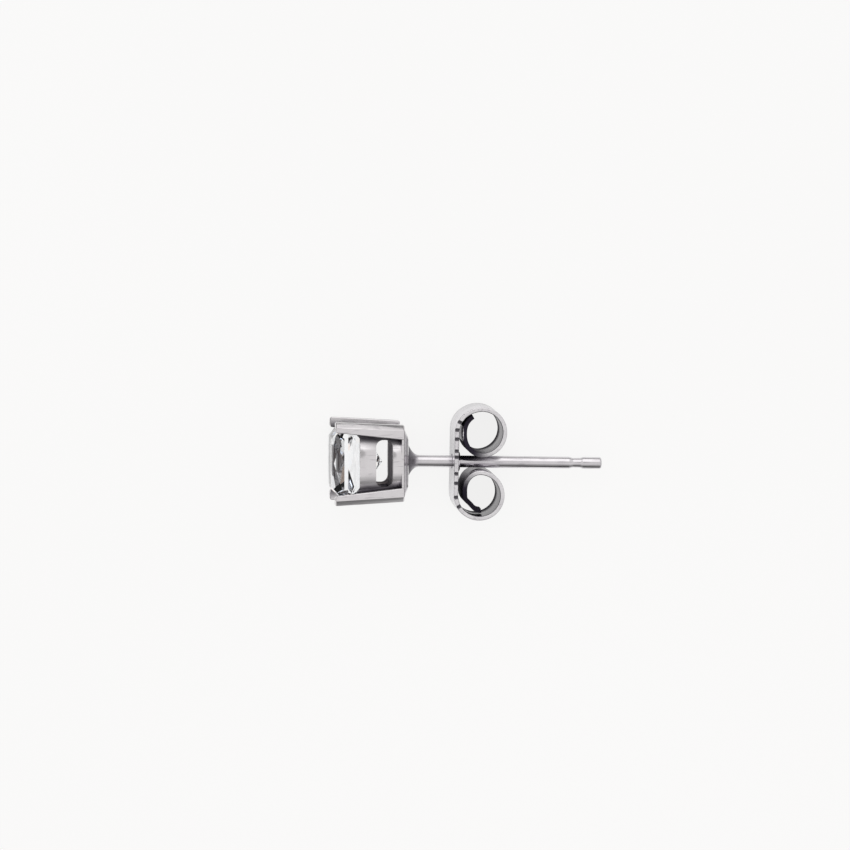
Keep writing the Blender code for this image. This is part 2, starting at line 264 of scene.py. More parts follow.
def four_round(made, material):
    """Repeats a piece on all four sides of the basket, a quarter turn apart about the post."""
    tree = bpy.data.node_groups.new("four_round", "GeometryNodeTree")
    group_input(tree, "Geometry", "NodeSocketGeometry", None)
    count = group_input(tree, "Sides", "NodeSocketInt", 4)
    finish = group_input(tree, "Metal", "NodeSocketMaterial", None)
    tree.interface.new_socket("Geometry", in_out="OUTPUT", socket_type="NodeSocketGeometry")
    start = tree.nodes.new("NodeGroupInput").outputs
    points = add_node(
        tree,
        "GeometryNodeMeshLine",
        None,
        Count=start["Sides"],
        Start_Location=(0, 0, 0),
        Offset=(0, 0, 0),
    ).outputs["Mesh"]
    step = add_node(
        tree, "ShaderNodeMath", {"operation": "DIVIDE"}, _0=2 * pi, _1=start["Sides"]
    ).outputs[0]
    index = add_node(tree, "GeometryNodeInputIndex").outputs[0]
    turn = add_node(
        tree, "ShaderNodeMath", {"operation": "MULTIPLY"}, _0=index, _1=step
    ).outputs[0]
    angles = add_node(tree, "ShaderNodeCombineXYZ", None, X=turn).outputs[0]
    rotation = add_node(tree, "FunctionNodeEulerToRotation", None, Euler=angles).outputs[0]
    sides = add_node(
        tree,
        "GeometryNodeInstanceOnPoints",
        None,
        Points=points,
        Instance=start["Geometry"],
        Rotation=rotation,
    ).outputs["Instances"]
    solid = add_node(tree, "GeometryNodeRealizeInstances", None, Geometry=sides).outputs[0]
    dressed = add_node(
        tree, "GeometryNodeSetMaterial", None, Geometry=solid, Material=start["Metal"]
    ).outputs[0]
    end = tree.nodes.new("NodeGroupOutput")
    tree.links.new(dressed, end.inputs[0])
    modifier = made.modifiers.new("four_round", "NODES")
    modifier.node_group = tree
    modifier[count.identifier] = 4
    modifier[finish.identifier] = material
    return made


def arc(centre, radius, start, end, steps=8):
    """Points on an arc, from the start to the end angle in degrees."""
    turns = [radians(start + (end - start) * i / steps) for i in range(steps + 1)]
    return [(centre[0] + radius * cos(a), centre[1] + radius * sin(a)) for a in turns]


def cut_plate(name, outlines, thickness):
    """A flat plate from an outline and the holes in it."""
    curve = bpy.data.curves.new(name, "CURVE")
    curve.dimensions = "2D"
    curve.fill_mode = "BOTH"
    curve.extrude = thickness / 2
    for outline in outlines:
        spline = curve.splines.new("POLY")
        spline.points.add(len(outline) - 1)
        for point, (x, y) in zip(spline.points, outline):
            point.co = (x, y, 0, 1)
        spline.use_cyclic_u = True
    return linked(name, curve)


ALONG_POST = (0.15, 1.0, 1.0)
basket_metal = white_metal(
    "rhodium_plated_cast_metal", "#EDEBEC", "#D9D6D8", 0.12, 0.0004 * MM, ALONG_POST
)
# The walls that the wheel can't reach stay as they were cast, gray and satin.
inside_metal = white_metal("as_cast_white_metal", "#B9B2B0", "#9D9694", 0.38, 0.002 * MM)


def skin(rings, bm=None, capped=True):
    """A closed skin over rings of points, with end caps or else joined from last to first."""
    bm = bmesh.new() if bm is None else bm
    loops = [[bm.verts.new(point) for point in ring] for ring in rings]
    for one, other in zip(loops, loops[1:] if capped else loops[1:] + loops[:1]):
        for i in range(len(one)):
            j = (i + 1) % len(one)
            bm.faces.new((one[i], one[j], other[j], other[i]))
    if capped:
        bm.faces.new(loops[0])
        bm.faces.new(loops[-1])
    bmesh.ops.recalc_face_normals(bm, faces=bm.faces)
    return bm


def made_mesh(name, bm):
    mesh = bpy.data.meshes.new(name)
    bm.to_mesh(mesh)
    bm.free()
    return linked(name, mesh)


def panel_ring(x):
    """The bulging section of a side frame at x, from prong to prong."""
    half = basket_half(x)
    edge = prong_edge(x)
    reach = edge + PRONG_WIDTH / 3
    ring = [(x, -reach, half - PANEL_DEPTH), (x, reach, half - PANEL_DEPTH)]
    for i in range(2 * PANEL_STEPS + 1):
        y = reach * (1 - i / PANEL_STEPS)
        fall = PANEL_FALL * min(abs(y) / edge, 1.0) ** PANEL_FALL_POWER
        ring.append((x, y, half - PANEL_RECESS - fall))
    return ring


panel_end = BASKET_LENGTH - BASE_RIM / 2
fillet_x = RAIL_START - GAP_CORNER
reach = prong_edge(RAIL_START) + PRONG_WIDTH
fillet_y = prong_edge(RAIL_START) - GAP_CORNER
side_outline = [(panel_end, -reach), (panel_end, reach)]
side_outline += [(fillet_x, reach), (fillet_x, fillet_y + GAP_CORNER)]
side_outline += arc((fillet_x, fillet_y), GAP_CORNER, 90, 0)
side_outline += arc((fillet_x, -fillet_y), GAP_CORNER, 0, -90)
side_outline += [(fillet_x, -reach)]
window_outline = []
front_x, rear_x = WINDOW_START + WINDOW_CORNER, WINDOW_END - WINDOW_CORNER
inner_y = WINDOW_WIDTH / 2 - WINDOW_CORNER
corners = ((rear_x, inner_y), (front_x, inner_y), (front_x, -inner_y), (rear_x, -inner_y))
for quarter, corner in enumerate(corners):
    window_outline += arc(corner, WINDOW_CORNER, 90 * quarter, 90 * quarter + 90)
outline = cut_plate("outline", [side_outline, window_outline], 3 * BASKET_HALF)
outline.location.z = BASKET_HALF
bpy.context.view_layer.update()
outline = put_in(outline, Matrix.Identity(4), None)
side = made_mesh("gallery", skin([panel_ring(0.0), panel_ring(BASKET_LENGTH + BASE_RIM)]))
cut = side.modifiers.new("cut_to_outline", "BOOLEAN")
cut.operation = "INTERSECT"
cut.solver = "EXACT"
cut.object = outline
soft = side.modifiers.new("cast_edges", "BEVEL")
soft.width = CAST_EDGE
soft.segments = 3
soft.limit_method = "ANGLE"
soft.angle_limit = radians(SHARP_ANGLE)
side = put_in(side, Matrix.Identity(4), basket_metal)
bpy.data.objects.remove(outline, do_unlink=True)
gallery = put_in(four_round(side, basket_metal), in_stud, None)


def leave_cast(made, chosen):
    """Gives the satin metal to the faces that are chosen by their middle and their normal."""
    made.data.materials.append(inside_metal)
    for face in made.data.polygons:
        if chosen(to_stud @ face.center, to_stud.to_3x3() @ face.normal):
            face.material_index = len(made.data.materials) - 1


def faces_inside(middle, way):
    """Whether a face looks inward or sideways, and is deeper than the wheel reaches."""
    outward = Vector((0, middle.y, middle.z))
    deep = max(abs(middle.y), abs(middle.z)) < basket_half(middle.x) - WHEEL_DEPTH
    return deep and (abs(way.x) > 0.7 or way.dot(outward) < 0)


leave_cast(gallery, faces_inside)


# Prongs. Four corner posts of the same casting stand a little proud of the gallery. Their outer
# corner is beveled, and their tips are filed round and close over the corners of the stone.
PRONG_BEVEL = 0.30 * MM
PRONG_TIP_ROUNDING = 0.14 * MM
PRONG_FOOT_ROUNDING = 0.10 * MM
PRONG_EDGE = 0.05 * MM
PRONG_INNER_EDGE = 0.12 * MM
PRONG_SHARP_ANGLE = 50
TIP_STEPS = 8
PRONG_FOOT_STEPS = 4


def rounded(corners, steps=4):
    """The outline of a polygon whose (x, y, radius) corners are rounded by arcs."""
    outline = []
    for i, (x, y, radius) in enumerate(corners):
        here = Vector((x, y))
        before = (Vector(corners[i - 1][:2]) - here).normalized()
        after = (Vector(corners[(i + 1) % len(corners)][:2]) - here).normalized()
        half_angle = before.angle(after) / 2
        centre = here + (before + after).normalized() * radius / sin(half_angle)
        run = radius * cos(half_angle) / sin(half_angle)
        first = (here + before * run - centre).normalized()
        last = (here + after * run - centre).normalized()
        outline += [centre + radius * first.slerp(last, k / steps) for k in range(steps + 1)]
    return outline


def prong_ring(x, inset):
    """The prong's section at x, drawn in all round by the inset."""
    outer = basket_half(x) - inset
    inner = prong_edge(x) + inset
    corners = [
        (outer, inner, PRONG_EDGE),
        (outer, outer - PRONG_BEVEL, PRONG_EDGE),
        (outer - PRONG_BEVEL, outer, PRONG_EDGE),
        (inner, outer, PRONG_EDGE),
        (inner, inner, PRONG_INNER_EDGE),
    ]
    return [(x, point.x, point.y) for point in rounded(corners)]


prong_rings = []
for i in range(TIP_STEPS + 1):
    angle = pi / 2 * i / TIP_STEPS
    x = PRONG_TIP_ROUNDING * (1 - cos(angle))
    prong_rings.append(prong_ring(x, PRONG_TIP_ROUNDING * (1 - sin(angle))))
for i in range(PRONG_FOOT_STEPS + 1):
    angle = pi / 2 * i / PRONG_FOOT_STEPS
    x = BASKET_LENGTH - PRONG_FOOT_ROUNDING * (1 - sin(angle))
    prong_rings.append(prong_ring(x, PRONG_FOOT_ROUNDING * (1 - cos(angle))))
prong = made_mesh("prongs", skin(prong_rings))
prongs = put_in(four_round(prong, basket_metal), in_stud, None, PRONG_SHARP_ANGLE)


# Base. The closed bottom of the basket is cast with it. It is a flat plate with rounded corners
# and a thin rim, and it has a low dome that the post stands on.
BASE_THICKNESS = 0.69 * MM
BASE_DOME = 0.30 * MM
DOME_TOP_WIDTH = 2.30 * MM
BASE_CORNER = 0.30 * MM
BASE_CORNER_STEPS = 6
RIM_STEPS = 5
DOME_STEPS = 8


def square_ring(x, half):
    """A square section of the base at x, with rounded corners."""
    corners = [(y * half, z * half, BASE_CORNER) for y, z in ((1, 1), (-1, 1), (-1, -1), (1, -1))]
    return [(x, point.x, point.y) for point in rounded(corners, BASE_CORNER_STEPS)]


base_front = BASKET_LENGTH - BASE_THICKNESS
core_inset = PANEL_RECESS + PANEL_FALL
rim_front = BASKET_LENGTH - BASE_RIM
rim_half = basket_half(rim_front) - PANEL_RECESS - CAST_EDGE / 3
base_rings = [
    square_ring(base_front, basket_half(base_front) - core_inset - CAST_EDGE),
    square_ring(base_front + CAST_EDGE, basket_half(base_front) - core_inset),
    square_ring(rim_front, basket_half(rim_front) - core_inset),
    square_ring(rim_front, rim_half - CAST_EDGE),
    square_ring(rim_front + CAST_EDGE / 3, rim_half - CAST_EDGE / 3),
    square_ring(rim_front + CAST_EDGE, rim_half),
]
for i in range(RIM_STEPS + 1):
    angle = pi / 2 * i / RIM_STEPS
    x = BASKET_LENGTH - PRONG_FOOT_ROUNDING * (1 - sin(angle))
    base_rings.append(square_ring(x, rim_half - PRONG_FOOT_ROUNDING * (1 - cos(angle))))
dome_start = rim_half - PRONG_FOOT_ROUNDING
for i in range(1, DOME_STEPS + 1):
    share = i / DOME_STEPS
    half = dome_start + (DOME_TOP_WIDTH / 2 - dome_start) * share
    base_rings.append(square_ring(BASKET_LENGTH + BASE_DOME * sin(pi / 2 * share), half))
base = put_in(made_mesh("base", skin(base_rings)), in_stud, basket_metal)
leave_cast(base, lambda middle, way: way.x < -0.7 and middle.x < rim_front - CAST_EDGE)


def in_one_casting(name, pieces, materials):
    """One piece made of all the pieces, which share these material slots."""
    bm = bmesh.new()
    for piece in pieces:
        slots = [material.name if material else "" for material in piece.data.materials]
        first = len(bm.faces)
        bm.from_mesh(piece.data)
        bm.faces.ensure_lookup_table()
        for face in bm.faces[first:]:
            finish = slots[min(face.material_index, len(slots) - 1)]
            face.material_index = int(finish == materials[1].name)
        bpy.data.objects.remove(piece, do_unlink=True)
    made = made_mesh(name, bm)
    for material in materials:
        made.data.materials.append(material)
    return made


basket = in_one_casting("basket", (gallery, prongs, base), (basket_metal, inside_metal))
# Painted shade: the hollows where the frames run into the prongs are darkened and made matt, on
# the frames toward the prongs and down the inner sides of the prongs.
FRAME_DARK = 0.8
FRAME_DARK_START = 0.55
FRAME_DARK_FADE = 0.35
PRONG_DARK = 0.9

# Painted shade on the basket, per point.
painted_shade = basket.data.attributes.new("painted_shade", "FLOAT", "POINT")
for dark, vertex in zip(painted_shade.data, basket.data.vertices):
    here = to_stud @ vertex.co
    across, out = sorted((abs(here.y), abs(here.z)))
    side_x = prong_edge(here.x)
    on_frame = across < side_x and RAIL_START - CAST_EDGE < here.x < rim_front
    depth = basket_half(here.x) - out
    if abs(across - side_x) < PRONG_EDGE and depth > PRONG_EDGE / 2:
        dark.value = PRONG_DARK * min(depth / PRONG_WIDTH, 1.0)
    elif on_frame:
        share = (across / side_x - FRAME_DARK_START) / FRAME_DARK_FADE
        dark.value = FRAME_DARK * min(max(share, 0.0), 1.0)
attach(basket, "stud")
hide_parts("setting_post")


# Post. Drawn round wire of the same white metal, soldered to the base through a flared foot. A
# notch near the tip catches the back, and the end is chamfered.
POST_LEAN = asin(-slide[1])
POST_RADIUS = 0.35 * MM
POST_LENGTH = 11.50 * MM
FOOT_RADIUS = 1.15 * MM
FOOT_LENGTH = 0.72 * MM
FOOT_SINK = 0.03 * MM
FOOT_POWER = 2.2
FOOT_STEPS = 20
# Painted shade: the foot is darkened and made matt next to the base, fading out along its length.
FOOT_SHADE = 0.8
TIP_LENGTH = 1.10 * MM
TIP_CHAMFER = 0.10 * MM
DRAWN_EDGE = 0.04 * MM
DRAWN_EDGE_ANGLE = 12
NECK_RADIUS = 0.285 * MM
NECK_LENGTH = 0.44 * MM
NECK_BEVEL = 0.22 * MM
NECK_FLARE = 0.16 * MM

in_post = (
    in_stud
    @ Matrix.Translation((BASKET_LENGTH + BASE_DOME, 0, 0))
    @ Matrix.Rotation(-POST_LEAN, 4, "Z")
)


def turned(name, profile, capped=True, sides=64):
    """A solid turned about X, from (x, radius) pairs."""
    angles = [2 * pi * i / sides for i in range(sides)]
    rings = [[(x, r * cos(a), r * sin(a)) for a in angles] for x, r in profile]
    return made_mesh(name, skin(rings, capped=capped))


post_profile = [(-BASE_DOME, FOOT_RADIUS)]
for i in range(FOOT_STEPS + 1):
    share = i / FOOT_STEPS
    radius = POST_RADIUS + (FOOT_RADIUS - POST_RADIUS) * (1 - share) ** FOOT_POWER
    post_profile.append((FOOT_LENGTH * share - FOOT_SINK, radius))
neck_end = POST_LENGTH - TIP_LENGTH - NECK_FLARE
neck_start = neck_end - NECK_LENGTH
post_profile += [
    (neck_start - NECK_BEVEL, POST_RADIUS),
    (neck_start, NECK_RADIUS),
    (neck_end, NECK_RADIUS),
    (POST_LENGTH - TIP_LENGTH, POST_RADIUS),
    (POST_LENGTH - TIP_CHAMFER, POST_RADIUS),
    (POST_LENGTH - TIP_CHAMFER * 0.35, POST_RADIUS - TIP_CHAMFER * 0.3),
    (POST_LENGTH, POST_RADIUS - TIP_CHAMFER),
]
post = turned("post", post_profile)
soft = post.modifiers.new("drawn_edges", "BEVEL")
soft.width = DRAWN_EDGE
soft.segments = 3
soft.limit_method = "ANGLE"
soft.angle_limit = radians(DRAWN_EDGE_ANGLE)
post_metal = white_metal(
    "drawn_wire_white_metal", "#E9E7E9", "#CFCCD0", 0.14, 0.0006 * MM, ALONG_POST, False
)
post = put_in(post, in_post, post_metal)
# Painted shade on the foot, strongest at the base.
painted_shade = post.data.attributes.new("painted_shade", "FLOAT", "POINT")
to_post = in_post.inverted()
for dark, vertex in zip(painted_shade.data, post.data.vertices):
    out = (to_post @ vertex.co).x
    dark.value = FOOT_SHADE * min(max(1 - out / FOOT_LENGTH, 0.0), 1.0)
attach(post, "stud")
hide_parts("setting_post")


# Stone. A clear square brilliant, ground flat facet by facet: a table, a low crown, a thin girdle
# and a deep pavilion whose chevrons meet at the point.
STONE_HALF = 2.20 * MM
TABLE_PROUD = 0.12 * MM
GIRDLE_FRONT = 0.56 * MM
GIRDLE_REAR = 0.78 * MM
STONE_INDEX = 1.62
HAZE_SIZE = 0.6 * MM
STONE_SHARP_ANGLE = 0.5
CUT_TOLERANCE = 1e-8
# Side of the girdle, facet angle, turns from the middle of a side, reach as a share of the half.
FACETS = (
    (0, 90.0, (0.0,), 1.0),
    (0, 90.0, (45.0,), 1.38),
    (-1, 48.0, (0.0,), 1.0),
    (-1, 39.0, (-6.0, 6.0), 1.085),
    (-1, 36.0, (45.0,), 1.36),
    (1, 60.0, (0.0,), 1.0),
    (1, 48.0, (-8.0, 8.0), 1.135),
    (1, 42.5, (-15.0, 15.0), 1.215),
    (1, 37.5, (-22.0, 22.0), 1.295),
)


def clear_stone():
    """Clear, hard-polished stone that throws light back in flashes, with a breath of haze."""
    material = bpy.data.materials.new("polished_clear_stone")
    material.use_nodes = True
    tree = material.node_tree
    shader = tree.nodes["Principled BSDF"]
    shader.inputs["Base Color"].default_value = linear("#FBFCFD")
    shader.inputs["Transmission Weight"].default_value = 1.0
    shader.inputs["IOR"].default_value = STONE_INDEX
    place = add_node(tree, "ShaderNodeTexCoord").outputs["Object"]
    haze = add_node(
        tree, "ShaderNodeTexNoise", None, Vector=place, Scale=1 / HAZE_SIZE, Detail=4.0
    ).outputs["Fac"]
    rough = add_node(
        tree,
        "ShaderNodeMapRange",
        None,
        Value=haze,
        From_Min=0.45,
        From_Max=0.75,
        To_Min=0.0,
        To_Max=0.05,
    ).outputs["Result"]
    tree.links.new(rough, shader.inputs["Roughness"])
    return material


stone_bm = bmesh.new()
bmesh.ops.create_cube(stone_bm, size=4 * STONE_HALF)
planes = [(Vector((-TABLE_PROUD, 0, 0)), Vector((-1, 0, 0)))]
for way, tier_angle, turns, share in FACETS:
    edge_x = GIRDLE_FRONT if way < 0 else GIRDLE_REAR
    for quarter in range(4):
        for turn in turns:
            about = radians(90 * quarter + turn)
            outward = Vector((0, cos(about), sin(about)))
            normal = outward * sin(radians(tier_angle))
            normal += Vector((way * cos(radians(tier_angle)), 0, 0))
            planes.append((Vector((edge_x, 0, 0)) + outward * share * STONE_HALF, normal))
for point, normal in planes:
    cut = bmesh.ops.bisect_plane(
        stone_bm,
        geom=stone_bm.verts[:] + stone_bm.edges[:] + stone_bm.faces[:],
        dist=CUT_TOLERANCE,
        plane_co=point,
        plane_no=normal,
        clear_outer=True,
    )
    edges = [part for part in cut["geom_cut"] if isinstance(part, bmesh.types.BMEdge)]
    if edges:
        bmesh.ops.edgeloop_fill(stone_bm, edges=edges)
bmesh.ops.recalc_face_normals(stone_bm, faces=stone_bm.faces)
stone = made_mesh("cut_stone", stone_bm)
stone = put_in(stone, in_stud, clear_stone(), STONE_SHARP_ANGLE)
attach(stone, "stud")
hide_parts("stone")


# Butterfly back. One strip of white metal sheet is stamped with small nicks along both edges,
# pierced with a flanged hole and curled into two scrolls that grip the post.
BACK_GAP = 2.65 * MM
SHEET = 0.26 * MM
SHEET_EDGE = 0.06 * MM
STRIP_WIDTH = 3.46 * MM
SCROLL_RADIUS = 1.48 * MM
STRIP_RADIUS = SCROLL_RADIUS - SHEET / 2
HOLE_RADIUS = 0.38 * MM
HOLE_LEAD_IN = 0.11 * MM
HOLE_FLANGE_WALL = 0.20 * MM
HOLE_FLANGE_LENGTH = 0.20 * MM
NICK_WIDTH = 0.22 * MM
NICK_DEPTH = 0.12 * MM
END_TAPER = 2.40 * MM
END_CORNER = 0.16 * MM
# Side of the post, (degrees turned, distance from the centre as a share) stations, end width as a
# share of the strip's, and the nicks in the curl in degrees.
SCROLLS = (
    (1, ((0, 1.09), (80, 1.0), (265, 1.0), (365, 0.74), (421, 0.75)), 0.80, (5.0, 24.0)),
    (
        -1,
        ((0, 1.03), (80, 1.0), (265, 1.0), (365, 0.62), (410, 0.54), (462, 0.74)),
        0.42,
        (5.0, 29.0),
    ),
)
# Places of the nicks across the plate, in mm.
PLATE_NICKS = (-1.154, -0.592, 0.385, 0.74, 1.45)
STRIP_SHARP_ANGLE = 30
# Degrees from point to point of the strip's line.
SCROLL_STEP = 3

in_back = in_post @ Matrix.Translation((BACK_GAP, 0, 0))
to_back = in_back.inverted()


def eased(share):
    share = min(max(share, 0.0), 1.0)
    return share * share * (3 - 2 * share)


def scroll_centre(scroll):
    """The middle of a curl, in the back's frame, where its outside just clears the post."""
    side, stations = scroll[:2]
    out = SHEET / 2 + stations[0][1] * STRIP_RADIUS
    return Vector((out, side * (HOLE_RADIUS + SCROLL_RADIUS)))


def scroll_point(scroll, turned_by):
    """A point of the strip's middle line, in the back's frame."""
    side, stations, _, _ = scroll
    for (start, before), (end, after) in zip(stations, stations[1:]):
        if turned_by <= end:
            break
    share = before + (after - before) * eased((turned_by - start) / (end - start))
    radius = share * STRIP_RADIUS
    out = Vector((-cos(radians(turned_by)), side * sin(radians(turned_by))))
    return (scroll_centre(scroll) + radius * out).to_3d()


def scroll_line(scroll):
    """(point, half width, way to the end) from the plate to the scroll's end."""
    _, stations, end_width, _ = scroll
    turn, share = stations[-1]
    steps = round(turn / SCROLL_STEP)
    places = [turn * i / steps for i in range(steps + 1)]
    # Two more points, for the rounded corners of the end.
    places += [turn - SCROLL_STEP / 2, turn - SCROLL_STEP * 3 / 2]
    line = []
    for place in sorted(places):
        to_end = radians(turn - place) * share * STRIP_RADIUS
        inset = STRIP_WIDTH / 2 * (1 - end_width) * (1 - eased(to_end / END_TAPER))
        corner = 1 - min(to_end / END_CORNER, 1.0)
        inset += END_CORNER * (1 - sqrt(1 - corner**2))
        line.append((scroll_point(scroll, place), STRIP_WIDTH / 2 - inset, to_end))
    return line


def strip_tree():
    """Sweeps the sheet's section along the strip's line and narrows it to each point's width."""
    tree = bpy.data.node_groups.new("curled_strip", "GeometryNodeTree")
    group_input(tree, "Line", "NodeSocketGeometry", None)
    thickness = group_input(tree, "Sheet", "NodeSocketFloat", SHEET)
    width = group_input(tree, "Width", "NodeSocketFloat", STRIP_WIDTH)
    edge = group_input(tree, "Edge rounding", "NodeSocketFloat", SHEET_EDGE)
    finish = group_input(tree, "Metal", "NodeSocketMaterial", None)
    tree.interface.new_socket("Geometry", in_out="OUTPUT", socket_type="NodeSocketGeometry")
    start = tree.nodes.new("NodeGroupInput").outputs
    line = add_node(tree, "GeometryNodeMeshToCurve", None, Mesh=start["Line"]).outputs[0]
    upright = add_node(
        tree, "GeometryNodeSetCurveNormal", {"mode": "Z_UP"}, Curve=line
    ).outputs[0]
    section = add_node(
        tree,
        "GeometryNodeCurvePrimitiveQuadrilateral",
        None,
        Width=start["Sheet"],
        Height=start["Width"],
    ).outputs[0]
    soft_section = add_node(
        tree,
        "GeometryNodeFilletCurve",
        {"mode": "POLY"},
        Curve=section,
        Count=4,
        Radius=start["Edge rounding"],
    ).outputs[0]
    swept = add_node(
        tree,
        "GeometryNodeCurveToMesh",
        None,
        Curve=upright,
        Profile_Curve=soft_section,
        Fill_Caps=True,
    ).outputs[0]
    share = add_node(
        tree, "GeometryNodeInputNamedAttribute", {"data_type": "FLOAT"}, Name="width_share"
    ).outputs[0]
    position = add_node(tree, "GeometryNodeInputPosition").outputs[0]
    scale = add_node(tree, "ShaderNodeCombineXYZ", None, X=1.0, Y=1.0, Z=share).outputs[0]
    narrowed = add_node(
        tree, "ShaderNodeVectorMath", {"operation": "MULTIPLY"}, _0=position, _1=scale
    ).outputs[0]
    placed = add_node(
        tree, "GeometryNodeSetPosition", None, Geometry=swept, Position=narrowed
    ).outputs[0]
    solid = add_node(tree, "GeometryNodeRealizeInstances", None, Geometry=placed).outputs[0]
    dressed = add_node(
        tree, "GeometryNodeSetMaterial", None, Geometry=solid, Material=start["Metal"]
    ).outputs[0]
    end = tree.nodes.new("NodeGroupOutput")
    tree.links.new(dressed, end.inputs[0])
    return tree, (thickness, width, edge, finish)


ALONG_STRIP = (0.15, 0.15, 1.0)
sheet_metal = white_metal(
    "rolled_white_metal_sheet", "#E9E7EA", "#CECBD0", 0.13, 0.0005 * MM, ALONG_STRIP
)
edge_metal = white_metal("sheared_sheet_edge", "#F4F3F4", "#E2E0E3", 0.5, 0.0012 * MM)
# Painted shade: the nicks and the ends that are curled in are darkened and made matt. Inside the
# curls the painted shade starts just above the middle and deepens downward, in the steps given in
# mm.
NICK_DARK = 0.7
INSIDE_DARK_TOP = 0.1 * MM
INSIDE_DARK_FADE = 1.3 * MM
INSIDE_DARK_STEPS = (-0.1, -0.3, -0.5, -0.7, -0.9, -1.1, -1.3, -1.5)
DARK_END = 2.2 * MM
DARK_END_FADE = 1.2 * MM

upper, lower = SCROLLS
line = scroll_line(lower)[::-1] + scroll_line(upper)
line_mesh = bpy.data.meshes.new("strip")
line_mesh.from_pydata(
    [entry[0] for entry in line], [(i, i + 1) for i in range(len(line) - 1)], []
)
shares = line_mesh.attributes.new("width_share", "FLOAT", "POINT")
for share, (_, half_width, _) in zip(shares.data, line):
    share.value = half_width / (STRIP_WIDTH / 2)
strip = linked("butterfly_strip", line_mesh)
modifier = strip.modifiers.new("curled_strip", "NODES")
modifier.node_group, sockets = strip_tree()
for socket, value in zip(sockets, (SHEET, STRIP_WIDTH, SHEET_EDGE, sheet_metal)):
    modifier[socket.identifier] = value


def nick_places():
    """The middle of each nick on the strip's line, and the way the strip runs there."""
    places = [(Vector((SHEET / 2, y * MM, 0)), 90.0) for y in PLATE_NICKS]
    for scroll in SCROLLS:
        side = scroll[0]
        for place in scroll[3]:
            places.append((scroll_point(scroll, place), 90.0 - side * place))
    return places


nick_bm = bmesh.new()
for middle, heading in nick_places():
    for way in (1, -1):
        place = Matrix.Translation(middle + Vector((0, 0, way * STRIP_WIDTH / 2)))
        place = place @ Matrix.Rotation(radians(heading), 4, "Z")
        corners = ((0, -way), (NICK_WIDTH, way), (-NICK_WIDTH, way))
        rings = [
            [place @ Vector((x, across, side * NICK_DEPTH)) for x, side in corners]
            for across in (-SHEET, SHEET)
        ]
        skin(rings, nick_bm)
nicks = made_mesh("nick_punch", nick_bm)
hole_punch = turned(
    "hole_punch",
    [
        (-HOLE_LEAD_IN, HOLE_RADIUS + 2 * HOLE_LEAD_IN),
        (HOLE_LEAD_IN, HOLE_RADIUS),
        (SHEET + MM / 2, HOLE_RADIUS),
    ],
)
for punch in (nicks, hole_punch):
    modifier = strip.modifiers.new(punch.name, "BOOLEAN")
    modifier.operation = "DIFFERENCE"
    modifier.solver = "EXACT"
    modifier.object = punch
strip = put_in(strip, in_back, None, STRIP_SHARP_ANGLE)
for punch in (nicks, hole_punch):
    bpy.data.objects.remove(punch, do_unlink=True)
strip.data.materials.clear()
strip.data.materials.append(sheet_metal)
strip.data.materials.append(edge_metal)
# Cuts along the strip, so that the painted shade inside the curls can fade toward the upper edge.
strip_bm = bmesh.new()
strip_bm.from_mesh(strip.data)
for height in INSIDE_DARK_STEPS:
    bmesh.ops.bisect_plane(
        strip_bm,
        geom=strip_bm.verts[:] + strip_bm.edges[:] + strip_bm.faces[:],
        dist=CUT_TOLERANCE,
        plane_co=in_back @ Vector((0, 0, height * MM)),
        plane_no=in_back.to_3x3() @ Vector((0, 0, 1)),
    )
strip_bm.to_mesh(strip.data)
strip_bm.free()
near_line = kdtree.KDTree(len(line))
for i, (point, _, _) in enumerate(line):
    near_line.insert(point, i)
near_line.balance()
painted_shade = strip.data.attributes.new("painted_shade", "FLOAT", "FACE")
# The slant of a face is 0 on the sheet's own sides, 1 on its sheared edges and between in a nick.
for polygon, dark in zip(strip.data.polygons, painted_shade.data):
    here = to_back @ polygon.center
    way = to_back.to_3x3() @ polygon.normal
    slant = abs(way.z)
    polygon.material_index = int(slant > 0.6)
    # Painted shade in the nicks across the plate.
    if here.x < 2 * SHEET:
        dark.value = NICK_DARK * (abs(way.y) > 0.4 and 0.3 < slant < 0.9)
        continue
    centre = scroll_centre(SCROLLS[0 if here.y > 0 else 1])
    to_end = line[near_line.find((here.x, here.y, 0))[1]][2]
    # Painted shade: darker toward the curled-in ends; inside the curls the slanted walls take the
    # nicks' dark and the walls darken downward.
    dark.value = 1 - eased((to_end - DARK_END) / DARK_END_FADE)
    if slant < 0.9 and way.xy.dot(centre - here.xy) > 0:
        inside = eased((INSIDE_DARK_TOP - here.z) / INSIDE_DARK_FADE)
        dark.value = max(dark.value, NICK_DARK if slant > 0.1 else inside)
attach(strip, "back")
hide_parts("butterfly_back")

# The flange round the hole is punched up from the sheet, and its lip is rounded over.
FLANGE_LIP = 0.02 * MM
FLANGE_TURN = 0.03 * MM

flange_outer = HOLE_RADIUS + HOLE_FLANGE_WALL
flange_end = SHEET + HOLE_FLANGE_LENGTH
flange_profile = [
    (SHEET / 2, HOLE_RADIUS),
    (SHEET / 2, flange_outer),
    (flange_end - 4 * FLANGE_LIP, flange_outer),
    (flange_end - FLANGE_LIP, flange_outer - FLANGE_TURN),
    (flange_end, flange_outer - 3 * FLANGE_TURN),
    (flange_end - FLANGE_LIP, HOLE_RADIUS + FLANGE_TURN),
    (flange_end - 3.5 * FLANGE_LIP, HOLE_RADIUS),
]
flange = put_in(turned("hole_flange", flange_profile, capped=False), in_back, sheet_metal)
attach(flange, "back")
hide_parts("butterfly_back")


# Floor. A plain sheet of opal acrylic, lit from below so that hardly any shadow falls on it. It
# gives its light upward, so polished metal sees it bright straight below and dim toward the
# horizon, which draws the dark lines along round edges.
FLOOR_HALF = 3.0
LIT_FROM_BELOW = 0.85
LAMP_SPREAD = 0.01
LAMP_SPACING = 60 * MM
DIM_FLOOR = 0.10
SHADE_REACH = 2.5 * MM

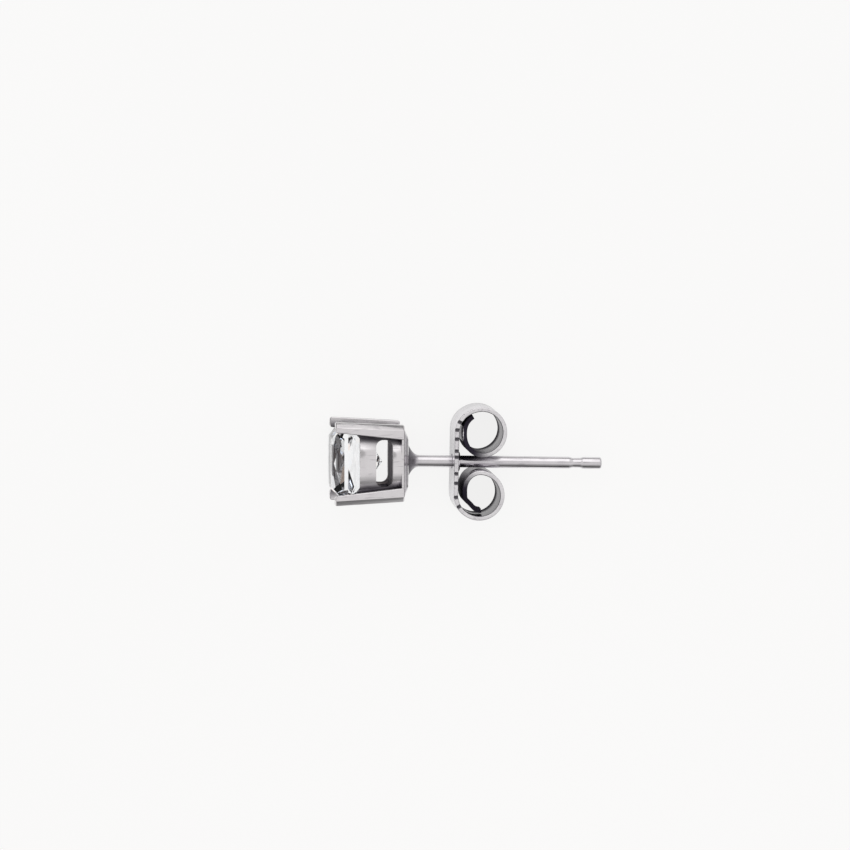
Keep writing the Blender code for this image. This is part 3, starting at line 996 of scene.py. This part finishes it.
floor_bm = bmesh.new()
bmesh.ops.create_grid(floor_bm, x_segments=1, y_segments=1, size=FLOOR_HALF)
floor = made_mesh("floor", floor_bm)
opal = bpy.data.materials.new("opal_acrylic_sheet")
opal.use_nodes = True
opal_tree = opal.node_tree
opal_shader = opal_tree.nodes["Principled BSDF"]
opal_shader.inputs["Roughness"].default_value = 0.8
opal_shader.inputs["Specular IOR Level"].default_value = 0.1
opal_shader.inputs["Base Color"].default_value = linear("#5C5C5C")
opal_shader.inputs["Emission Color"].default_value = (1.0, 0.995, 0.99, 1.0)
floor_path = add_node(opal_tree, "ShaderNodeLightPath").outputs
opal_place = add_node(opal_tree, "ShaderNodeTexCoord").outputs["Object"]
# The lamps behind the sheet are a little uneven.
uneven = add_node(
    opal_tree, "ShaderNodeTexNoise", None, Vector=opal_place, Scale=1 / LAMP_SPACING
).outputs["Fac"]
lamps = add_node(
    opal_tree,
    "ShaderNodeMapRange",
    None,
    Value=uneven,
    To_Min=LIT_FROM_BELOW - LAMP_SPREAD,
    To_Max=LIT_FROM_BELOW + LAMP_SPREAD,
).outputs["Result"]
through_stone = add_node(
    opal_tree,
    "ShaderNodeMapRange",
    None,
    Value=floor_path["Is Transmission Ray"],
    To_Min=1.0,
    To_Max=1.05,
).outputs["Result"]
seen_light = add_node(
    opal_tree, "ShaderNodeMath", {"operation": "MULTIPLY"}, _0=lamps, _1=through_stone
).outputs[0]
# What the metal reflects: dim toward the horizon, and a painted shadow from ambient occlusion
# under the earring itself.
slant = add_node(opal_tree, "ShaderNodeLayerWeight", None, Blend=0.5).outputs["Facing"]
upward = add_node(
    opal_tree,
    "ShaderNodeMapRange",
    {"interpolation_type": "SMOOTHSTEP"},
    Value=slant,
    From_Min=0.52,
    From_Max=0.92,
    To_Min=LIT_FROM_BELOW,
    To_Max=DIM_FLOOR,
).outputs["Result"]
covered = add_node(
    opal_tree, "ShaderNodeAmbientOcclusion", {"samples": 4}, Distance=SHADE_REACH
).outputs["AO"]
uncovered = add_node(
    opal_tree,
    "ShaderNodeMapRange",
    None,
    Value=covered,
    From_Min=0.25,
    From_Max=0.80,
    To_Min=0.38,
    To_Max=1.0,
).outputs["Result"]
under_piece = add_node(
    opal_tree, "ShaderNodeMath", {"operation": "MULTIPLY"}, _0=upward, _1=uncovered
).outputs[0]
glow = add_node(
    opal_tree,
    "ShaderNodeMix",
    {"data_type": "FLOAT"},
    _0=floor_path["Is Reflection Ray"],
    _2=seen_light,
    _3=under_piece,
).outputs[0]
opal_tree.links.new(glow, opal_shader.inputs["Emission Strength"])
floor.data.materials.append(opal)


# Light. A white tent all round. The metal also sees a bright window on the upper side of the
# picture, a dark card low on the lower side, the dimmer ends of the tent and the dark front of the
# lens overhead. Light that comes through the stone is split into faint blue and orange flashes.
WINDOW_TOWARD = Vector((0.0, 0.80, 0.60))
LENS_TOWARD = Vector((0.0, 0.25, 0.97)).normalized()
THROUGH_STONE = 0.25
FLASH_SCALE = 5.0
BLUE_FLASH = "#DDE9FF"
ORANGE_FLASH = "#FFE6D3"

world = bpy.data.worlds.new("tent")
bpy.context.scene.world = world
world.use_nodes = True
sky = world.node_tree
sky.nodes.clear()
toward = add_node(sky, "ShaderNodeTexCoord").outputs["Generated"]
parts = add_node(sky, "ShaderNodeSeparateXYZ", None, Vector=toward).outputs
path = add_node(sky, "ShaderNodeLightPath").outputs
along = add_node(sky, "ShaderNodeMath", {"operation": "ABSOLUTE"}, _0=parts["X"]).outputs[0]
to_window, to_lens = (
    add_node(
        sky, "ShaderNodeVectorMath", {"operation": "DOT_PRODUCT"}, _0=toward, _1=direction
    ).outputs["Value"]
    for direction in (WINDOW_TOWARD, LENS_TOWARD)
)
# Each zone: what it follows, where it starts and ends, and its light before and after.
roof, lower_side, card, window, ends, lens = (
    add_node(
        sky,
        "ShaderNodeMapRange",
        {"interpolation_type": "SMOOTHSTEP"},
        Value=source,
        From_Min=start,
        From_Max=end,
        To_Min=before,
        To_Max=after,
    ).outputs["Result"]
    for source, start, end, before, after in (
        (parts["Z"], 0.2, 0.9, 0.86, 0.80),
        (parts["Y"], -0.92, -0.30, 0.32, 1.0),
        (parts["Y"], -0.98, -0.90, 0.12, 1.0),
        (to_window, 0.80, 0.97, 0.0, 0.55),
        (along, 0.80, 0.95, 1.0, 0.42),
        (to_lens, 0.975, 0.992, 1.0, 0.6),
    )
)
in_stone = path["Is Transmission Ray"]
ends = add_node(sky, "ShaderNodeMath", {"operation": "MAXIMUM"}, _0=ends, _1=in_stone).outputs[0]
tent = roof
for operation, zone in (
    ("MULTIPLY", lower_side),
    ("MULTIPLY", card),
    ("ADD", window),
    ("MULTIPLY", ends),
    ("MULTIPLY", lens),
):
    tent = add_node(
        sky, "ShaderNodeMath", {"operation": operation}, _0=tent, _1=zone
    ).outputs[0]
tent = add_node(
    sky, "ShaderNodeMath", {"operation": "MULTIPLY_ADD"}, _0=in_stone, _1=THROUGH_STONE, _2=tent
).outputs[0]
spread = add_node(
    sky, "ShaderNodeTexNoise", None, Vector=toward, Scale=FLASH_SCALE, Detail=1.0
).outputs["Fac"]
flashes = add_node(sky, "ShaderNodeValToRGB", None, Fac=spread)
ramp = flashes.color_ramp.elements
ramp[0].color = linear(BLUE_FLASH)
ramp[-1].color = linear(ORANGE_FLASH)
for place, color in (
    (0.38, BLUE_FLASH),
    (0.46, "#FFFFFF"),
    (0.56, "#FFFFFF"),
    (0.64, ORANGE_FLASH),
):
    ramp.new(place).color = linear(color)
fire = add_node(
    sky,
    "ShaderNodeMix",
    {"data_type": "RGBA"},
    _0=in_stone,
    _6=(1.0, 0.985, 0.985, 1.0),
    _7=flashes.outputs[0],
).outputs[2]
reflected = add_node(sky, "ShaderNodeBackground", None, Color=fire, Strength=tent).outputs[0]
# The camera and plain surfaces see the tent as even and white.
seen = add_node(
    sky, "ShaderNodeBackground", None, Color=linear("#F8F8F8"), Strength=1.0
).outputs[0]
plain = add_node(
    sky,
    "ShaderNodeMath",
    {"operation": "MAXIMUM"},
    _0=path["Is Camera Ray"],
    _1=path["Is Diffuse Ray"],
).outputs[0]
both = add_node(sky, "ShaderNodeMixShader", None, _0=plain, _1=reflected, _2=seen).outputs[0]
add_node(sky, "ShaderNodeOutputWorld", None, Surface=both)
bpy.context.scene.view_settings.view_transform = "Standard"


# Camera. It looks almost straight down at the middle of the picture, leaning a little over the
# upper side of the earring, through a lens that shows 50 mm of the floor.
CAMERA_LEAN = radians(4.7)
CAMERA_ROLL = radians(0.09)
CAMERA_DISTANCE = 0.5
VIEW_WIDTH = 50 * MM
SENSOR_WIDTH = 36.0
TARGET = Vector((-2.356, 2.205, 2.4155)) * MM

up = Vector((0, cos(CAMERA_LEAN), -sin(CAMERA_LEAN)))
back_off = Vector((0, sin(CAMERA_LEAN), cos(CAMERA_LEAN)))
right = up.cross(back_off)
turn = Matrix.Rotation(CAMERA_ROLL, 3, back_off)
right, up = turn @ right, turn @ up
camera = bpy.data.objects.new("camera", bpy.data.cameras.new("camera"))
bpy.context.scene.collection.objects.link(camera)
camera.data.sensor_width = SENSOR_WIDTH
camera.data.lens = SENSOR_WIDTH * CAMERA_DISTANCE / VIEW_WIDTH
camera.data.clip_start = 0.01
camera.matrix_world = Matrix.Translation(TARGET + back_off * CAMERA_DISTANCE) @ Matrix(
    (right, up, back_off)
).transposed().to_4x4()
bpy.context.scene.camera = camera
